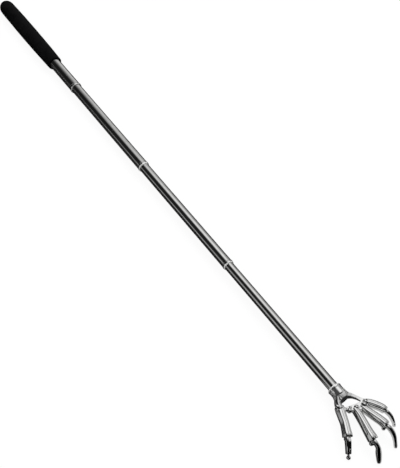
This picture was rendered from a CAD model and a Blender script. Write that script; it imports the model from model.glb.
import math

import bmesh
import bpy
from mathutils import Matrix, Vector, noise


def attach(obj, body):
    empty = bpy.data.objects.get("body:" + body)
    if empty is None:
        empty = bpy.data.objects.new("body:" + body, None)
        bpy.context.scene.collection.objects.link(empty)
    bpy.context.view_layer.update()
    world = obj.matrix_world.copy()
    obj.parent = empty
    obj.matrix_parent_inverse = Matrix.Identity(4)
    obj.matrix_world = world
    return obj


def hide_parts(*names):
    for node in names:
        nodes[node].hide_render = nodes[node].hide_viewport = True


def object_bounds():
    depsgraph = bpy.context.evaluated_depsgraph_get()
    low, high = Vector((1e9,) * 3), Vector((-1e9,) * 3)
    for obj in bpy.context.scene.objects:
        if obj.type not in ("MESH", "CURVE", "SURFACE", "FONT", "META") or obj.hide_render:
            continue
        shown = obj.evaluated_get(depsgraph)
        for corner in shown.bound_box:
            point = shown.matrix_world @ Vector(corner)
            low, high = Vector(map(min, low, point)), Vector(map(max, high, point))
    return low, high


# The dressed back scratcher: a black foam grip, polished steel tubes and a bright chromed hand.
# Metres, +X from the grip to the hand, +Z up. The hand and the grip are made in millimetres first.

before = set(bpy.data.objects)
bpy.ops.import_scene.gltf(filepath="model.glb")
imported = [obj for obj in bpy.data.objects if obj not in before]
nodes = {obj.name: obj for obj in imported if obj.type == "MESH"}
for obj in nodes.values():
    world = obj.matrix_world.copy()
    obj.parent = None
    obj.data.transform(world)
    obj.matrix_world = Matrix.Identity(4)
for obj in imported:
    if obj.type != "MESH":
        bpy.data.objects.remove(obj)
cad_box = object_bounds()
scene = bpy.context.scene
scene.view_settings.view_transform = "Standard"
MM = 0.001

# The photograph's height in pixels, and the camera that sees the object as it does
PHOTO_HEIGHT = 468
FOCAL_PIXELS = 680
SENSOR_WIDTH = 36
CAMERA_PLACE = (0.4765, -0.17368, 0.38972)
CAMERA_AZIMUTH = math.radians(56.13)
CAMERA_ELEVATION = math.radians(51.5)
CAMERA_CLIP = (0.01, 50)

# Strength of the plain light from all sides, and the two lamps: place, size and power. Both are
# turned to LAMP_AIM
WORLD_FILL = 0.55
LAMP_AIM = (0.14, 0, 0)
LAMPS = {
    "key_lamp": ((-0.2, 0.7, 1.5), (1.6, 1.2), 24),
    "fill_lamp": ((0.6, -1.2, 1.0), (1.4, 1.0), 8),
}
# The floor: how far it reaches to each side, its colour, how much of it shows as plain white, and
# the distances between which it goes over to white altogether
FLOOR_REACH = 8
FLOOR_COLOUR = 0.9
FLOOR_WHITE_SHARE = 0.92
FLOOR_FADE = (0.8, 2.5)

# The half-round tent over the object: its radius, its ends in X and the steps of its round
TENT_RADIUS = 1.0
TENT_X_SPAN = (-4.0, 2.0)
TENT_STEPS = 48
# Brightness of the tent's panels against the angle from straight overhead, in degrees towards +Y:
# by the hand and behind the grip, and the stretch of X over which the one goes over to the other
TENT_PANELS = [
    (-90, 0.42), (-80, 0.45), (-72, 0.14), (-66, 0.02), (-14, 0.012), (-4, 0.10), (4, 0.55),
    (14, 1.0), (36, 1.0), (50, 0.62), (64, 0.34), (78, 0.30), (90, 0.30),
]
TENT_REAR_PANELS = [
    (-90, 0.05), (-80, 0.06), (-72, 0.03), (-66, 0.012), (-16, 0.012), (-4, 0.06), (8, 0.13),
    (20, 0.26), (38, 0.52), (54, 0.65), (90, 0.65),
]
TENT_TURN = (-1.0, -0.45)
# The stretch of X over which the tent darkens and the share of its brightness that is left, then
# the angles where it stays light for longer and the stretch over which it darkens there
TENT_FADE = (0.15, 0.75)
TENT_DARK_SHARE = 0.012
TENT_LATE_ANGLES = (40, 55)
TENT_LATE_FADE = (0.8, 1.0)
# Lighter panels low on the tent's sides: the angles and the stretch of X over which each one fades
# in, the stretch over which it ends, and its brightness
TENT_SIDES = [
    ((50, 62), (0.40, 0.60), (1.0, 1.2), 0.65),
    ((-57, -64), (-0.35, -0.15), (0.17, 0.22), 0.45),
    ((-60, -66), (0.40, 0.48), (0.80, 0.95), 0.5),
]

# The dark card: its spans of X and Y, its height above the floor in millimetres and its brightness
CARD_X_SPAN = (-3.0, 1.4)
CARD_Y_SPAN = (-0.9, 0.9)
CARD_LIFT = 0.2
CARD_BRIGHTNESS = 0.022
# Its lighter patches, in millimetres: spans of X and of Y, the width of their soft edge and their
# brightness
CARD_PATCHES = [
    ((390, 420), (-6, 45), 4, 0.55),
    ((357, 365), (-45, -9), 2, 0.2),
]

# The metals: lighter and darker colour, lowest and highest roughness, and the grain's scale, its
# stretch along each axis and its depth in metres
METALS = {
    "hand_chrome": ((0.86, 0.86, 0.85), (0.8, 0.8, 0.8), (0.04, 0.09), 260, (1, 1, 1), 0.00001),
    "tube_steel": (
        (0.72, 0.72, 0.71), (0.64, 0.64, 0.63), (0.10, 0.17), 900, (0.05, 1, 1), 0.000004),
    "turned_brass": (
        (0.8, 0.62, 0.3), (0.68, 0.5, 0.23), (0.2, 0.32), 3000, (1, 0.03, 0.03), 0.000006),
    "spring_bronze": (
        (0.72, 0.45, 0.24), (0.6, 0.36, 0.18), (0.22, 0.35), 1500, (1, 0.2, 0.2), 0.000004),
    "turned_steel": (
        (0.55, 0.55, 0.54), (0.45, 0.45, 0.44), (0.25, 0.4), 3000, (1, 0.03, 0.03), 0.000006),
}
METAL_MOTTLE_SCALE = 220
METAL_POLISH_SCALE = 90
# Satin stretches of the metal, at the mouths of the outer three tubes and on the hand's collar, its
# rim first: the span of X in millimetres, and how far from polished it is
MOUTH_SATIN = {1: [((21.8, 22.5), 0.25)], 2: [((137.8, 138.5), 0.6)], 3: [((253.8, 254.5), 0.6)]}
COLLAR_SATIN = [((366.45, 367.1), 0.6), ((366, 374), 0.045)]
# The width of a satin stretch's soft edge in millimetres, and the roughness of full satin
SATIN_SOFTNESS = 0.2
SATIN_ROUGHNESS = 0.55

# The foam: darker and lighter colour, lowest and highest roughness, its level of shine, and the
# scales and depths of its pores and of its clouded skin
FOAM_COLOURS = ((0.0018, 0.0018, 0.002), (0.0035, 0.0035, 0.0038))
FOAM_ROUGHNESS = (0.62, 0.78)
FOAM_SPECULAR = 0.05
FOAM_PORE_SCALE = 2600
FOAM_PORE_DEPTH = 0.00008
FOAM_CLOUD_SCALE = 140
FOAM_CLOUD_DEPTH = 0.00015
# The plug's plastic: darker and lighter colour, lowest and highest roughness, and its grain
PLUG_COLOURS = ((0.03, 0.03, 0.03), (0.05, 0.05, 0.05))
PLUG_ROUGHNESS = (0.42, 0.55)
PLUG_GRAIN_SCALE = 1800
PLUG_GRAIN_DEPTH = 0.00003

# The numbers of the tubes, and of the stages that slide, each with small pieces of its own
TUBES = (1, 2, 3, 4)
STAGES = (2, 3, 4)


def new_object(name, data):
    """A new object in the scene that holds this mesh, camera or lamp."""
    made = bpy.data.objects.new(name, data)
    scene.collection.objects.link(made)
    return made


def smooth(mesh):
    """Shades every face of a mesh smooth."""
    mesh.polygons.foreach_set("use_smooth", [True] * len(mesh.polygons))


def make_camera():
    """Sets the camera at the photograph's angle, distance and framing."""
    flat = math.cos(CAMERA_ELEVATION)
    back = Vector((
        math.sin(CAMERA_AZIMUTH) * flat,
        -math.cos(CAMERA_AZIMUTH) * flat,
        math.sin(CAMERA_ELEVATION),
    ))
    right = Vector((math.cos(CAMERA_AZIMUTH), math.sin(CAMERA_AZIMUTH), 0))
    up = back.cross(right)
    data = bpy.data.cameras.new("camera")
    data.sensor_width = SENSOR_WIDTH
    data.lens = FOCAL_PIXELS * data.sensor_width / PHOTO_HEIGHT
    data.clip_start, data.clip_end = CAMERA_CLIP
    camera = new_object("camera", data)
    turn = Matrix((right, up, back)).transposed()
    camera.matrix_world = Matrix.Translation(CAMERA_PLACE) @ turn.to_4x4()
    scene.camera = camera


def new_material(name):
    """A material with an empty node tree, and its output node."""
    material = bpy.data.materials.new(name)
    material.use_nodes = True
    tree = material.node_tree
    tree.nodes.clear()
    output = tree.nodes.new("ShaderNodeOutputMaterial")
    return material, tree, output


def object_axes(tree):
    """X, Y and Z of the point on the piece, in metres."""
    source = tree.nodes.new("ShaderNodeTexCoord")
    split = tree.nodes.new("ShaderNodeSeparateXYZ")
    tree.links.new(source.outputs["Object"], split.inputs[0])
    return split.outputs


def coordinates(tree, scale):
    """Object coordinates stretched by a scale for each axis."""
    source = tree.nodes.new("ShaderNodeTexCoord")
    mapping = tree.nodes.new("ShaderNodeMapping")
    mapping.inputs["Scale"].default_value = scale
    tree.links.new(source.outputs["Object"], mapping.inputs["Vector"])
    return mapping.outputs["Vector"]


def noise_of(tree, scale, stretch=(1, 1, 1), detail=3.0, roughness=0.5):
    """A noise texture over the piece, about 1 / scale metres in grain."""
    texture = tree.nodes.new("ShaderNodeTexNoise")
    texture.inputs["Scale"].default_value = scale
    texture.inputs["Detail"].default_value = detail
    texture.inputs["Roughness"].default_value = roughness
    tree.links.new(coordinates(tree, stretch), texture.inputs["Vector"])
    return texture.outputs[0]


def ramp(tree, value, low, high, out_low, out_high):
    """Maps a value between two limits to two other values."""
    node = tree.nodes.new("ShaderNodeMapRange")
    node.inputs["From Min"].default_value = low
    node.inputs["From Max"].default_value = high
    node.inputs["To Min"].default_value = out_low
    node.inputs["To Max"].default_value = out_high
    tree.links.new(value, node.inputs["Value"])
    return node.outputs[0]


def maths(tree, operation, first, second):
    """The result of a sum on two values."""
    node = tree.nodes.new("ShaderNodeMath")
    node.operation = operation
    tree.links.new(first, node.inputs[0])
    tree.links.new(second, node.inputs[1])
    return node.outputs[0]


def soft_span(tree, value, span, softness, level):
    """A level within a span of a coordinate, in millimetres, that falls to 0 over a soft edge."""
    low, high = span
    rise = ramp(tree, value, (low - softness) * MM, low * MM, 0, level)
    fall = ramp(tree, value, high * MM, (high + softness) * MM, 1, 0)
    return maths(tree, "MULTIPLY", rise, fall)


def mix_colour(tree, value, colour_a, colour_b):
    """A colour that goes from one to another with a value."""
    node = tree.nodes.new("ShaderNodeMix")
    node.data_type = "RGBA"
    node.inputs[6].default_value = (*colour_a, 1)
    node.inputs[7].default_value = (*colour_b, 1)
    tree.links.new(value, node.inputs[0])
    return node.outputs[2]


def bump(tree, value, distance, strength, before=None):
    """A bump of a given depth, on top of one before it if there is one."""
    node = tree.nodes.new("ShaderNodeBump")
    node.inputs["Distance"].default_value = distance
    node.inputs["Strength"].default_value = strength
    tree.links.new(value, node.inputs["Height"])
    if before is not None:
        tree.links.new(before, node.inputs["Normal"])
    return node.outputs[0]


def seen_directly(tree):
    """1 for rays of the camera, of glossy reflections and of transmission, and 0 for the rest."""
    path = tree.nodes.new("ShaderNodeLightPath")
    either = maths(tree, "MAXIMUM", path.outputs["Is Camera Ray"], path.outputs["Is Glossy Ray"])
    return maths(tree, "MAXIMUM", either, path.outputs["Is Transmission Ray"])


def background(tree, strength):
    """A plain white surrounding of a given strength."""
    node = tree.nodes.new("ShaderNodeBackground")
    node.inputs["Color"].default_value = (1, 1, 1, 1)
    node.inputs["Strength"].default_value = strength
    return node.outputs[0]


def make_world():
    """White to look at and in reflections, and a plain soft fill as a light."""
    world = bpy.data.worlds.new("surroundings")
    scene.world = world
    world.use_nodes = True
    tree = world.node_tree
    tree.nodes.clear()
    output = tree.nodes.new("ShaderNodeOutputWorld")
    mix = tree.nodes.new("ShaderNodeMixShader")
    tree.links.new(seen_directly(tree), mix.inputs[0])
    tree.links.new(background(tree, WORLD_FILL), mix.inputs[1])
    tree.links.new(background(tree, 1.0), mix.inputs[2])
    tree.links.new(mix.outputs[0], output.inputs["Surface"])


def flat_sheet(name, x_span, y_span, height):
    """A level rectangle."""
    (x0, x1), (y0, y1) = x_span, y_span
    corners = [(x0, y0, height), (x1, y0, height), (x1, y1, height), (x0, y1, height)]
    mesh = bpy.data.meshes.new(name)
    mesh.from_pydata(corners, [], [(0, 1, 2, 3)])
    return new_object(name, mesh)


def make_floor(height):
    """A wide white floor that keeps the object's soft shadow and is plain white far out."""
    span = (-FLOOR_REACH, FLOOR_REACH)
    floor = flat_sheet("floor", span, span, height)
    material, tree, output = new_material("floor_white")
    diffuse = tree.nodes.new("ShaderNodeBsdfDiffuse")
    diffuse.inputs["Color"].default_value = (FLOOR_COLOUR, FLOOR_COLOUR, FLOOR_COLOUR, 1)
    white = tree.nodes.new("ShaderNodeEmission")
    white.inputs["Color"].default_value = (1, 1, 1, 1)
    white.inputs["Strength"].default_value = 1.0
    distance = tree.nodes.new("ShaderNodeVectorMath")
    distance.operation = "LENGTH"
    tree.links.new(coordinates(tree, (1, 1, 0)), distance.inputs[0])
    white_share = ramp(tree, distance.outputs["Value"], *FLOOR_FADE, FLOOR_WHITE_SHARE, 1)
    mix = tree.nodes.new("ShaderNodeMixShader")
    tree.links.new(maths(tree, "MULTIPLY", seen_directly(tree), white_share), mix.inputs[0])
    tree.links.new(diffuse.outputs[0], mix.inputs[1])
    tree.links.new(white.outputs[0], mix.inputs[2])
    tree.links.new(mix.outputs[0], output.inputs["Surface"])
    floor.data.materials.append(material)


def make_lamp(name, place, size, power):
    """A soft rectangular lamp at a place, turned to the middle of the object."""
    data = bpy.data.lights.new(name, "AREA")
    data.shape = "RECTANGLE"
    data.size, data.size_y = size
    data.energy = power
    lamp = new_object(name, data)
    lamp.location = place
    lamp.rotation_euler = (Vector(place) - Vector(LAMP_AIM)).to_track_quat("Z", "Y").to_euler()
    lamp.visible_glossy = False


def only_in_reflections(card):
    """Marks a card of the studio that only glossy reflections see."""
    card.visible_camera = False
    card.visible_diffuse = False
    card.visible_shadow = False
    card.visible_transmission = False
    card.visible_volume_scatter = False


def glow(tree, level, output):
    """Makes a card shine at a level that changes over it."""
    node = tree.nodes.new("ShaderNodeEmission")
    tree.links.new(level, node.inputs["Strength"])
    tree.links.new(node.outputs[0], output.inputs["Surface"])


def panels_of(tree, angle, panels):
    """The brightness of a row of panels at an angle in degrees."""
    node = tree.nodes.new("ShaderNodeValToRGB")
    elements = node.color_ramp.elements
    while len(elements) < len(panels):
        elements.new(0.5)
    for element, (degrees, value) in zip(elements, panels):
        element.position = degrees / 180 + 0.5
        element.color = (value, value, value, 1)
    tree.links.new(ramp(tree, angle, -90, 90, 0, 1), node.inputs[0])
    return node.outputs[0]


def tent_mesh():
    """A half-round tunnel along X that is closed at the hand's end."""
    start_x, end_x = TENT_X_SPAN
    points = []
    for step in range(TENT_STEPS + 1):
        angle = math.pi * (step / TENT_STEPS - 0.5)
        y = math.sin(angle) * TENT_RADIUS
        z = math.cos(angle) * TENT_RADIUS
        points += [(start_x, y, z), (end_x, y, z)]
    faces = [(2 * i, 2 * i + 1, 2 * i + 3, 2 * i + 2) for i in range(TENT_STEPS)]
    points.append((end_x, 0, 0))
    faces += [(2 * i + 1, 2 * i + 3, len(points) - 1) for i in range(TENT_STEPS)]
    mesh = bpy.data.meshes.new("tent")
    mesh.from_pydata(points, [], faces)
    return mesh


def make_tent():
    """A long studio tent over the object. Its panels run along X, from black to white, change
    behind the grip and darken towards the hand's end."""
    mesh = tent_mesh()
    tent = new_object("tent", mesh)
    material, tree, output = new_material("tent_panels")

    def times(first, second):
        return maths(tree, "MULTIPLY", first, second)

    x, y, z = object_axes(tree)
    lean = maths(tree, "ARCTAN2", y, z)
    angle = ramp(tree, lean, -math.pi / 2, math.pi / 2, -90, 90)
    front = times(panels_of(tree, angle, TENT_PANELS), ramp(tree, x, *TENT_TURN, 0, 1))
    rear = times(panels_of(tree, angle, TENT_REAR_PANELS), ramp(tree, x, *TENT_TURN, 1, 0))
    late = times(ramp(tree, angle, *TENT_LATE_ANGLES, 0, 1), ramp(tree, x, *TENT_LATE_FADE, 1, 0))
    kept = maths(tree, "MAXIMUM", ramp(tree, x, *TENT_FADE, 1, TENT_DARK_SHARE), late)
    level = times(maths(tree, "ADD", front, rear), kept)
    for angles, start, end, brightness in TENT_SIDES:
        side = times(ramp(tree, angle, *angles, 0, brightness), ramp(tree, x, *start, 0, 1))
        level = maths(tree, "MAXIMUM", level, times(side, ramp(tree, x, *end, 1, 0)))
    glow(tree, level, output)
    mesh.materials.append(material)
    only_in_reflections(tent)


def make_dark_card(height):
    """A dark card on the floor round the object, as a dark table top would reflect, with lighter
    patches beside the hand."""
    card = flat_sheet("dark_card", CARD_X_SPAN, CARD_Y_SPAN, height)
    material, tree, output = new_material("card_dark")
    x, y, _ = object_axes(tree)
    level = None
    for x_span, y_span, softness, brightness in CARD_PATCHES:
        patch = soft_span(tree, x, x_span, softness, brightness - CARD_BRIGHTNESS)
        patch = maths(tree, "MULTIPLY", patch, soft_span(tree, y, y_span, softness, 1))
        level = patch if level is None else maths(tree, "ADD", level, patch)
    glow(tree, ramp(tree, level, 0, 1, CARD_BRIGHTNESS, 1 + CARD_BRIGHTNESS), output)
    card.data.materials.append(material)
    only_in_reflections(card)


def make_stage():
    """The floor, the surroundings, the lamps and the cards that the metal reflects."""
    floor_height = cad_box[0][2]
    make_world()
    make_floor(floor_height)
    for name, (place, size, power) in LAMPS.items():
        make_lamp(name, place, size, power)
    make_tent()
    make_dark_card(floor_height + CARD_LIFT * MM)


def metal(kind, name=None, satin=()):
    """A polished metal with a faint grain, a slight mottle and uneven polish, dulled where it has
    satin stretches."""
    light, dark, roughness, grain, stretch, grain_depth = METALS[kind]
    material, tree, output = new_material(name or kind)
    shader = tree.nodes.new("ShaderNodeBsdfPrincipled")
    shader.inputs["Metallic"].default_value = 1.0
    mottle = noise_of(tree, METAL_MOTTLE_SCALE, detail=4)
    colour = mix_colour(tree, ramp(tree, mottle, 0.35, 0.7, 0, 1), light, dark)
    tree.links.new(colour, shader.inputs["Base Color"])
    polish = noise_of(tree, METAL_POLISH_SCALE, detail=5, roughness=0.6)
    polish = ramp(tree, polish, 0.3, 0.75, *roughness)
    if satin:
        x = object_axes(tree)["X"]
        dull = None
        for span, share in satin:
            part = soft_span(tree, x, span, SATIN_SOFTNESS, share)
            dull = part if dull is None else maths(tree, "MAXIMUM", dull, part)
        polish = maths(tree, "MAXIMUM", polish, ramp(tree, dull, 0, 1, 0, SATIN_ROUGHNESS))
        tree.links.new(ramp(tree, dull, 0, 1, 1, 0), shader.inputs["Metallic"])
    tree.links.new(polish, shader.inputs["Roughness"])
    lines = noise_of(tree, grain, stretch=stretch, detail=2)
    tree.links.new(bump(tree, lines, grain_depth, 1.0), shader.inputs["Normal"])
    tree.links.new(shader.outputs[0], output.inputs["Surface"])
    return material


def foam_material():
    """Black closed-cell foam: matt, with fine pores and a slightly clouded skin."""
    material, tree, output = new_material("foam_black")
    shader = tree.nodes.new("ShaderNodeBsdfPrincipled")
    cells = tree.nodes.new("ShaderNodeTexVoronoi")
    cells.inputs["Scale"].default_value = FOAM_PORE_SCALE
    tree.links.new(coordinates(tree, (1, 1, 1)), cells.inputs["Vector"])
    cloud = noise_of(tree, FOAM_CLOUD_SCALE, detail=4)
    colour = mix_colour(tree, ramp(tree, cloud, 0.3, 0.7, 0, 1), *FOAM_COLOURS)
    tree.links.new(colour, shader.inputs["Base Color"])
    tree.links.new(ramp(tree, cloud, 0.3, 0.7, *FOAM_ROUGHNESS), shader.inputs["Roughness"])
    shader.inputs["Specular IOR Level"].default_value = FOAM_SPECULAR
    pores = bump(tree, cells.outputs["Distance"], FOAM_PORE_DEPTH, 0.6)
    skin = bump(tree, cloud, FOAM_CLOUD_DEPTH, 0.5, before=pores)
    tree.links.new(skin, shader.inputs["Normal"])
    tree.links.new(shader.outputs[0], output.inputs["Surface"])
    return material


def plug_material():
    """Black moulded plastic with a fine spark-eroded texture."""
    material, tree, output = new_material("plug_black")
    shader = tree.nodes.new("ShaderNodeBsdfPrincipled")
    grain = noise_of(tree, PLUG_GRAIN_SCALE, detail=3)
    tree.links.new(mix_colour(tree, grain, *PLUG_COLOURS), shader.inputs["Base Color"])
    tree.links.new(ramp(tree, grain, 0.3, 0.7, *PLUG_ROUGHNESS), shader.inputs["Roughness"])
    tree.links.new(bump(tree, grain, PLUG_GRAIN_DEPTH, 0.7), shader.inputs["Normal"])
    tree.links.new(shader.outputs[0], output.inputs["Surface"])
    return material


def assign(name, material):
    """Gives a node of the frame its material."""
    data = nodes[name].data
    data.materials.clear()
    data.materials.append(material)


# Radius, in millimetres, below which a point of an outline counts as on the axis
ON_AXIS = 1e-6


def lathe(build, profile, sides, closed=True):
    """Adds a solid of revolution about X, from an outline of (x, radius) points."""
    rings = []
    for x, radius in profile:
        if radius < ON_AXIS:
            rings.append([build.verts.new((x, 0, 0))])
            continue
        ring = []
        for side in range(sides):
            angle = 2 * math.pi * side / sides
            place = (x, math.cos(angle) * radius, math.sin(angle) * radius)
            ring.append(build.verts.new(place))
        rings.append(ring)
    pairs = list(zip(rings, rings[1:]))
    if closed:
        pairs.append((rings[-1], rings[0]))
    for first, second in pairs:
        if len(first) == 1 and len(second) == 1:
            continue
        for side in range(sides):
            after = (side + 1) % sides
            if len(first) == 1:
                corners = (first[0], second[after], second[side])
            elif len(second) == 1:
                corners = (first[side], first[after], second[0])
            else:
                corners = (first[side], first[after], second[after], second[side])
            build.faces.new(corners)


def arc(centre, reach, start, end, steps):
    """Points on an arc in the (x, radius) plane, with its reach along each of the two and its
    angles in degrees from +X."""
    points = []
    for step in range(steps + 1):
        angle = math.radians(start + (end - start) * step / steps)
        points.append((
            centre[0] + math.cos(angle) * reach[0], centre[1] + math.sin(angle) * reach[1]))
    return points


# The foam grip, in millimetres
GRIP_REAR_X = -134.0
GRIP_FRONT_X = -20.0
GRIP_BUTT_RADIUS = 7.2
GRIP_BELLY_RADIUS = 7.5
GRIP_FRONT_RADIUS = 6.6
GRIP_BELLY_X = -88.4
GRIP_DOME_LENGTH = 8.5
GRIP_FRONT_ROUND = 1.2
GRIP_BORE_RADIUS = 5.03
GRIP_BORE_REAR_X = -126.0
GRIP_DOME_X = GRIP_REAR_X + GRIP_DOME_LENGTH
# How far the front face dips towards the bore, and the length and depth of the bore's bevel
GRIP_FACE_DIP = 0.03
GRIP_BEVEL_LENGTH = 0.2
GRIP_BEVEL_DEPTH = 0.15
GRIP_SIDES = 96
GRIP_STEPS = 150
# Radius up to which the bore's wall stays true
GRIP_TRUE_RADIUS = 5.5
# How far the foam's skin lies inside its outline: the mean, then the depth and the scale of a slow
# and of a fine unevenness, and the place in the noise that the fine one starts from
FOAM_INSET = 0.05
FOAM_SLOW = (0.07, 0.11)
FOAM_FINE = (0.03, 0.55)
FOAM_FINE_START = Vector((31, 7, 3))


def grip_side_radius(x):
    """Radius of the grip's long side at a station, on the arc through its three known radii."""
    known = [
        (GRIP_DOME_X, GRIP_BUTT_RADIUS), (GRIP_BELLY_X, GRIP_BELLY_RADIUS),
        (GRIP_FRONT_X, GRIP_FRONT_RADIUS),
    ]
    total = 0.0
    for index, (known_x, radius) in enumerate(known):
        weight = 1.0
        for other, (other_x, _) in enumerate(known):
            if other != index:
                weight *= (x - other_x) / (known_x - other_x)
        total += radius * weight
    return total


def grip_outline():
    """The sleeve's outline: the domed butt, the long side, the rounded front and the blind bore."""
    profile = arc((GRIP_DOME_X, 0), (GRIP_DOME_LENGTH, GRIP_BUTT_RADIUS), 180, 92, 22)
    profile[0] = (GRIP_REAR_X, 0)
    side_end_x = GRIP_FRONT_X - GRIP_FRONT_ROUND
    for step in range(GRIP_STEPS + 1):
        x = GRIP_DOME_X + (side_end_x - GRIP_DOME_X) * step / GRIP_STEPS
        profile.append((x, grip_side_radius(x)))
    round_centre = (side_end_x, grip_side_radius(side_end_x) - GRIP_FRONT_ROUND)
    profile += arc(round_centre, (GRIP_FRONT_ROUND, GRIP_FRONT_ROUND), 80, 0, 8)
    face_top = profile[-1][1]
    face_depth = GRIP_BORE_RADIUS + GRIP_BEVEL_DEPTH - face_top
    profile += [(GRIP_FRONT_X - GRIP_FACE_DIP, face_top + face_depth * t / 3) for t in (1, 2, 3)]
    profile += [
        (GRIP_FRONT_X - GRIP_BEVEL_LENGTH, GRIP_BORE_RADIUS),
        (GRIP_BORE_REAR_X, GRIP_BORE_RADIUS),
        (GRIP_BORE_REAR_X, 0),
    ]
    return profile


def make_grip(material):
    """The foam sleeve, with the small unevenness of a moulded foam tube."""
    build = bmesh.new()
    lathe(build, grip_outline(), GRIP_SIDES, closed=False)
    for vert in build.verts:
        radial = math.hypot(vert.co.y, vert.co.z)
        in_bore = radial < GRIP_TRUE_RADIUS and vert.co.x > GRIP_BORE_REAR_X - 1
        if in_bore or radial <= ON_AXIS:
            continue
        slow = noise.noise(Vector(vert.co) * FOAM_SLOW[1])
        fine = noise.noise(Vector(vert.co) * FOAM_FINE[1] + FOAM_FINE_START)
        inward = FOAM_INSET + FOAM_SLOW[0] * slow + FOAM_FINE[0] * fine
        vert.co.y *= 1 - max(inward, 0) / radial
        vert.co.z *= 1 - max(inward, 0) / radial
    bmesh.ops.recalc_face_normals(build, faces=build.faces)
    bmesh.ops.scale(build, vec=(MM, MM, MM), verts=build.verts)
    mesh = bpy.data.meshes.new("foam_grip")
    build.to_mesh(mesh)
    build.free()
    smooth(mesh)
    mesh.materials.append(material)
    piece = new_object("foam_grip", mesh)
    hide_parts("grip")
    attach(piece, "root")


# The hand's casting, in millimetres from the collar's rim
RIM_X = 366.2
COLLAR_RADIUS = 4.55
COLLAR_LENGTH = 7.0
COLLAR_BEVEL = 0.55
COLLAR_LIP_LENGTH = 1.2
COLLAR_LIP_RISE = 0.1
COLLAR_SIDES = 72
# Where the collar runs on into the palm: its radius at the start and the end, and its length
RUNOUT_RADII = (2.5, 2.0)
RUNOUT_LENGTH = 2
SOCKET_RADIUS = 3.56
SOCKET_DEPTH = 4.0
STUD_HOLE_RADIUS = 1.56
STUD_HOLE_END = 8.1
# The size of the cells in which the casting's pieces grow together, and its rounds of smoothing
CASTING_GRAIN = 0.18
CASTING_SMOOTHING = 5
UP = Vector((0, 0, 1))
# Share of a limb's height above its line
CROWN = 0.66
# Outlines across a limb from its left edge over the top to the right and back below, as shares of
# half its width and of its height above and below the line
ROUND_SECTION = [
    (-math.cos(math.tau * step / 28), math.sin(math.tau * step / 28)) for step in range(28)
]
WEB_SECTION = [
    (-1.0, 0.0), (-0.88, 0.65), (-0.6, 0.94), (0.0, 1.0), (0.6, 0.94), (0.88, 0.65), (1.0, 0.0),
    (0.8, -0.8), (0.0, -1.0), (-0.8, -0.8),
]
BONE_SECTION = [
    (-1.0, -1.2), (-1.0, -0.3), (-0.85, 0.25), (-0.38, 0.95), (-0.22, 1.0), (0.14, 1.0),
    (0.28, 0.86), (0.4, 0.94), (0.88, 0.74), (1.0, 0.5), (1.0, -0.5), (0.8, -0.9), (0.3, -1.0),
    (-0.3, -1.1), (-0.8, -1.3),
]
FIRST_CLAW_SECTION = [
    (-1.0, -0.1), (-0.94, 0.45), (-0.7, 0.85), (-0.35, 1.0), (-0.05, 0.98), (0.9, 0.5), (1.0, -0.1),
    (0.8, -0.8), (0.3, -1.0), (-0.3, -1.0), (-0.8, -0.8),
]
CLAW_SECTION = [
    (-1.0, -0.1), (-0.94, 0.5), (-0.75, 0.85), (-0.2, 0.97), (0.2, 1.0), (0.34, 0.95), (0.95, 0.3),
    (1.0, -0.1), (0.8, -0.8), (0.3, -1.0), (-0.3, -1.0), (-0.8, -0.8),
]


def curve_through(points, samples):
    """Points on a smooth line through the given ones, which are tuples of any length."""
    result = []
    last = len(points) - 1
    for index in range(last):
        p0 = points[max(index - 1, 0)]
        p1, p2 = points[index], points[index + 1]
        p3 = points[min(index + 2, last)]
        for step in range(samples):
            t = step / samples
            result.append(tuple(
                0.5 * (2 * b + (c - a) * t + (2 * a - 5 * b + 4 * c - d) * t * t
                       + (3 * b - a - 3 * c + d) * t * t * t)
                for a, b, c, d in zip(p0, p1, p2, p3)
            ))
    result.append(tuple(points[-1]))
    return result


def add_limb(build, stations, section=ROUND_SECTION, samples=6):
    """Adds a closed limb through stations of (x, y, z, width, height), with a drawn section.

    A section's points are shares of half the width, and of the height above or below the line. Two
    thirds of the height lie above it.
    """
    line = curve_through(stations, samples)
    rings = []
    for index, (x, y, z, width, height) in enumerate(line):
        before = Vector(line[max(index - 1, 0)][:3])
        after = Vector(line[min(index + 1, len(line) - 1)][:3])
        forward = (after - before).normalized()
        side = UP.cross(forward).normalized()
        top = forward.cross(side)
        ring = []
        for across, upward in section:
            rise = upward * height * (CROWN if upward > 0 else 1 - CROWN)
            place = Vector((x, y, z)) + side * across * width / 2 + top * rise
            ring.append(build.verts.new(place))
        rings.append(ring)
    for first, second in zip(rings, rings[1:]):
        for step in range(len(section)):
            after = (step + 1) % len(section)
            build.faces.new((first[step], first[after], second[after], second[step]))
    build.faces.new(list(reversed(rings[0])))
    build.faces.new(rings[-1])


def add_slab(build, points):
    """Adds a plate with leaning sides, from pairs of a point of its top and of its underside."""
    tops = [build.verts.new(top) for top, _ in points]
    lows = [build.verts.new(low) for _, low in points]
    for index in range(len(points)):
        after = (index + 1) % len(points)
        build.faces.new((tops[index], tops[after], lows[after], lows[index]))
    ends = [build.faces.new(tops), build.faces.new(list(reversed(lows)))]
    bmesh.ops.triangulate(build, faces=ends)


def add_ball(build, x, y, z, radius):
    """Adds a ball."""
    made = bmesh.ops.create_uvsphere(build, u_segments=24, v_segments=16, radius=1)
    bmesh.ops.scale(build, vec=(radius, radius, radius), verts=made["verts"])
    bmesh.ops.translate(build, vec=(x, y, z), verts=made["verts"])


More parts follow.
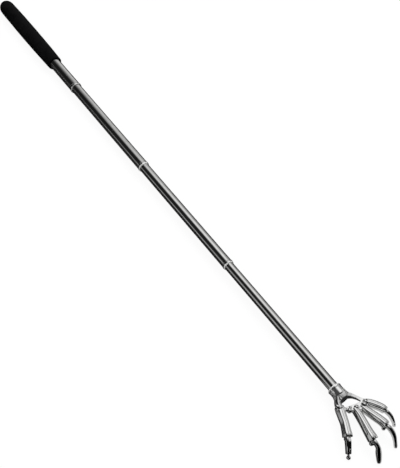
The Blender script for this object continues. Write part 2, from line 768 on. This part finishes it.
# Each finger's bone from root to knuckle and its claw from knuckle to tip, as stations of
# (x, y, z, width, height), and the ball of its tip as (x, y, z, radius). The first finger's claw
# has a section of its own and ends in a thin neck
FINGERS = {
    "first": {
        "bone": [
            (11.9, -5.6, -0.1, 5.6, 3.2), (14.4, -6.7, 0.2, 6.0, 3.2), (16.9, -7.9, 0.3, 5.6, 3.2),
            (21.8, -10.0, 0.5, 5.3, 3.1), (26.2, -12.5, 0.8, 5.6, 3.3),
            (28.0, -13.5, 0.9, 5.9, 3.5), (29.2, -14.2, 0.8, 6.2, 3.2),
        ],
        "claw": [
            (27.6, -13.2, 0.0, 3.2, 2.8), (30.4, -15.0, 0.1, 4.1, 3.2),
            (32.6, -16.4, -1.0, 4.0, 3.2), (34.5, -17.6, -2.7, 3.8, 3.0),
            (36.1, -18.6, -4.3, 3.6, 2.5),
        ],
        "claw_section": FIRST_CLAW_SECTION,
        "neck": [
            (35.6, -18.3, -3.8, 1.5, 1.5), (36.7, -18.9, -5.0, 1.2, 1.2),
            (37.1, -19.2, -5.6, 2.2, 2.1), (37.5, -19.4, -6.3, 2.7, 2.5),
            (37.8, -19.6, -7.0, 1.9, 1.6),
        ],
        "tip": (37.4, -19.4, -6.4, 1.1),
    },
    "second": {
        "bone": [
            (18.0, 1.4, -0.4, 4.2, 3.4), (22.3, 0.9, 0.0, 4.8, 3.6), (27.8, -0.4, 0.4, 5.2, 3.8),
            (33.8, -1.9, 0.7, 5.6, 3.9), (37.6, -2.6, 0.8, 6.1, 4.1), (38.9, -2.8, 0.6, 6.3, 3.6),
        ],
        "claw": [
            (37.4, -2.8, 0.0, 3.2, 2.8), (40.6, -2.9, 0.3, 3.3, 3.1), (43.6, -3.1, -0.7, 3.2, 3.2),
            (45.6, -4.1, -2.3, 3.9, 3.4), (47.5, -5.1, -4.1, 3.6, 3.1),
            (49.1, -6.0, -5.7, 3.0, 2.6), (49.9, -6.5, -6.6, 2.2, 1.8),
        ],
        "tip": (49.3, -6.2, -6.35, 1.15),
    },
    "third": {
        "bone": [
            (19.0, 6.0, -0.4, 3.9, 3.2), (22.8, 6.6, 0.0, 4.7, 3.4), (27.8, 7.9, 0.4, 5.2, 3.6),
            (32.8, 9.2, 0.7, 5.3, 3.7), (35.4, 9.6, 0.7, 5.4, 3.9), (36.6, 9.8, 0.5, 5.3, 3.4),
        ],
        "claw": [
            (35.2, 9.6, 0.0, 2.9, 2.6), (38.2, 10.2, 0.2, 3.4, 3.0), (41.2, 10.6, -0.9, 3.5, 3.1),
            (43.9, 10.3, -2.8, 3.0, 2.9), (46.2, 9.4, -4.6, 2.5, 2.5), (47.9, 8.5, -5.9, 2.4, 2.1),
            (48.7, 8.1, -6.7, 1.8, 1.5),
        ],
        "tip": (48.1, 8.3, -6.5, 1.0),
    },
    "fourth": {
        "bone": [
            (18.4, 10.0, -0.4, 3.8, 3.2), (20.6, 11.6, 0.1, 4.6, 3.4), (23.4, 13.3, 0.5, 4.8, 3.7),
            (26.4, 14.9, 0.8, 4.6, 3.8), (28.2, 15.5, 0.8, 4.5, 3.8), (29.3, 15.9, 0.5, 4.2, 3.3),
        ],
        "claw": [
            (27.8, 15.1, 0.0, 2.6, 2.6), (30.6, 16.1, 0.2, 3.1, 3.0), (33.0, 16.8, -0.9, 3.0, 3.0),
            (35.2, 17.0, -2.8, 2.6, 2.8), (36.9, 17.1, -4.8, 2.2, 2.3),
            (37.8, 17.0, -5.9, 2.2, 2.0), (38.3, 16.9, -6.7, 1.7, 1.5),
        ],
        "tip": (37.8, 16.9, -6.55, 0.95),
    },
}

# Extra lumps of the casting: wrist bones on the left branch, knobs along the cross bar, and the
# joint ends that stand out below the knuckles, as (x, y, z, radius)
LUMPS = [
    (9.7, -5.4, 0.9, 1.5), (11.6, -7.0, 1.2, 1.5), (11.2, -4.6, 1.1, 1.1), (13.2, -4.6, 0.9, 1.3),
    (15.6, -4.1, 0.6, 1.3), (17.4, -2.3, 0.5, 1.6), (16.2, -0.6, 0.4, 1.2), (18.2, 2.6, 0.5, 1.7),
    (19.0, 4.5, 0.3, 1.2), (19.4, 7.6, 0.8, 1.8), (18.4, 9.6, 0.6, 1.8),
    (39.8, -4.7, -0.6, 1.5), (36.9, 7.6, -0.6, 1.3), (29.4, -15.9, 0.0, 1.1),
]

# The web in front of the collar and the thin right branch, as a plate with pairs of a point of its
# top and a point of its underside
WEB = [
    ((4.5, -3.9, 3.2), (4.5, -3.6, -3.2)), ((8.4, -5.2, 2.3), (8.4, -5.2, -2.6)),
    ((10.4, -4.2, 2.0), (10.9, -3.6, -2.4)), ((9.6, -1.9, 2.2), (10.6, -1.6, -2.8)),
    ((9.3, 0.3, 2.3), (10.5, 0.8, -2.8)), ((9.6, 2.4, 2.0), (10.3, 3.2, -2.2)),
    ((11.1, 4.3, 1.7), (11.5, 5.0, -1.7)), ((13.5, 6.1, 1.4), (13.8, 6.7, -1.4)),
    ((16.4, 7.3, 1.3), (16.5, 8.0, -1.2)), ((18.0, 8.6, 1.3), (18.0, 8.8, -1.2)),
    ((17.2, 10.6, 1.3), (17.2, 10.3, -1.2)), ((15.1, 9.1, 1.3), (15.1, 9.3, -1.2)),
    ((13.1, 8.0, 1.4), (13.1, 8.3, -1.4)), ((10.4, 6.5, 1.6), (10.4, 6.7, -1.7)),
    ((8.2, 4.8, 2.1), (8.1, 4.8, -2.4)), ((6.4, 4.1, 2.8), (6.2, 4.0, -2.9)),
    ((4.5, 3.8, 3.2), (4.5, 3.5, -3.2)),
]
# The cross bar that carries the second, third and fourth fingers
CROSS_BAR = [
    ((14.8, -4.6, 1.3), (14.8, -4.6, -1.4)), ((16.8, -3.4, 1.2), (16.6, -3.4, -1.5)),
    ((18.6, -0.6, 1.3), (18.6, -0.6, -1.6)), ((20.6, 2.4, 1.4), (20.6, 2.4, -1.6)),
    ((21.2, 5.2, 1.4), (21.2, 5.2, -1.5)), ((21.6, 8.4, 1.4), (21.4, 8.4, -1.5)),
    ((20.4, 11.0, 1.4), (20.2, 11.0, -1.4)), ((17.6, 9.8, 1.3), (17.6, 9.8, -1.2)),
    ((16.7, 7.2, 1.3), (16.6, 7.4, -1.3)), ((16.4, 4.8, 1.3), (16.3, 5.0, -1.4)),
    ((15.8, 2.0, 1.3), (15.6, 2.2, -1.4)), ((15.5, -0.6, 1.2), (15.2, -0.4, -1.4)),
    ((14.6, -2.6, 1.3), (14.2, -2.2, -1.4)),
]
# The thick middle of the web and the left branch, as stations like a finger's
WRIST = [(5.0, 0.2, -0.6, 7.6, 7.4), (7.4, 0.2, -0.6, 7.2, 7.1), (9.8, 0.2, -0.6, 6.0, 6.5)]
LEFT_BRANCH = [
    (4.9, -2.2, -0.2, 4.0, 5.8), (7.6, -3.4, -0.1, 3.9, 5.0), (10.2, -5.2, 0, 4.3, 4.4),
    (13.6, -6.2, 0, 5.4, 4.0),
]


def collar_outline():
    """The collar with its socket and the stud's hole, running on into the palm."""
    return [
        (0, SOCKET_RADIUS),
        (0, COLLAR_RADIUS - COLLAR_BEVEL),
        (COLLAR_LIP_LENGTH * 0.75, COLLAR_RADIUS + COLLAR_LIP_RISE),
        (COLLAR_LIP_LENGTH * 1.4, COLLAR_RADIUS + COLLAR_LIP_RISE),
        (COLLAR_LIP_LENGTH * 1.7, COLLAR_RADIUS - COLLAR_LIP_RISE / 2),
        (COLLAR_LENGTH - COLLAR_BEVEL, COLLAR_RADIUS - COLLAR_LIP_RISE),
        (COLLAR_LENGTH, COLLAR_RADIUS - COLLAR_BEVEL),
        (COLLAR_LENGTH, RUNOUT_RADII[0]),
        (COLLAR_LENGTH + RUNOUT_LENGTH, RUNOUT_RADII[1]),
        (COLLAR_LENGTH + RUNOUT_LENGTH, 0),
        (STUD_HOLE_END, 0),
        (STUD_HOLE_END, STUD_HOLE_RADIUS),
        (SOCKET_DEPTH, STUD_HOLE_RADIUS),
        (SOCKET_DEPTH, SOCKET_RADIUS),
    ]


def add_palm(build):
    """The web in front of the collar, the two branches round the open palm and the cross bar."""
    add_slab(build, WEB)
    add_slab(build, CROSS_BAR)
    add_limb(build, WRIST, WEB_SECTION)
    add_limb(build, LEFT_BRANCH)


def remeshed(mesh):
    """The pieces of a casting grown together: one even skin over all of them, smoothed a little."""
    carrier = new_object("casting_carrier", mesh)
    skin = carrier.modifiers.new("skin", "REMESH")
    skin.mode = "VOXEL"
    skin.voxel_size = CASTING_GRAIN
    relax = carrier.modifiers.new("relax", "SMOOTH")
    relax.factor = 0.5
    relax.iterations = CASTING_SMOOTHING
    shape = carrier.evaluated_get(bpy.context.evaluated_depsgraph_get())
    result = bpy.data.meshes.new_from_object(shape)
    bpy.data.objects.remove(carrier)
    return result


def make_hand(material):
    """The chromed casting: collar, open palm, four bony fingers and their claws."""
    build = bmesh.new()
    lathe(build, collar_outline(), COLLAR_SIDES)
    add_palm(build)
    for finger in FINGERS.values():
        add_limb(build, finger["bone"], BONE_SECTION)
        add_limb(build, finger["claw"], finger.get("claw_section", CLAW_SECTION))
        if "neck" in finger:
            add_limb(build, finger["neck"])
        add_ball(build, *finger["tip"])
    for lump in LUMPS:
        add_ball(build, *lump)
    bmesh.ops.recalc_face_normals(build, faces=build.faces)
    mesh = bpy.data.meshes.new("hand_parts")
    build.to_mesh(mesh)
    build.free()
    casting = remeshed(mesh)
    casting.transform(Matrix.Diagonal((MM, MM, MM, 1)) @ Matrix.Translation((RIM_X, 0, 0)))
    casting.name = "chrome_hand"
    smooth(casting)
    casting.materials.clear()
    casting.materials.append(material)
    piece = new_object("chrome_hand", casting)
    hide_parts("hand")
    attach(piece, "stage_4")


make_camera()
make_stage()

brass = metal("turned_brass")
bronze = metal("spring_bronze")
for number in TUBES:
    satin = MOUTH_SATIN.get(number, ())
    assign(f"stage_{number}_tube", metal("tube_steel", f"tube_steel_{number}", satin))
for number in STAGES:
    assign(f"stage_{number}_stop_sleeve", brass)
    assign(f"stage_{number}_bush", brass)
    assign(f"stage_{number}_spring", bronze)
assign("hand_stud", metal("turned_steel"))
assign("butt_plug", plug_material())
make_grip(foam_material())
make_hand(metal("hand_chrome", satin=COLLAR_SATIN))
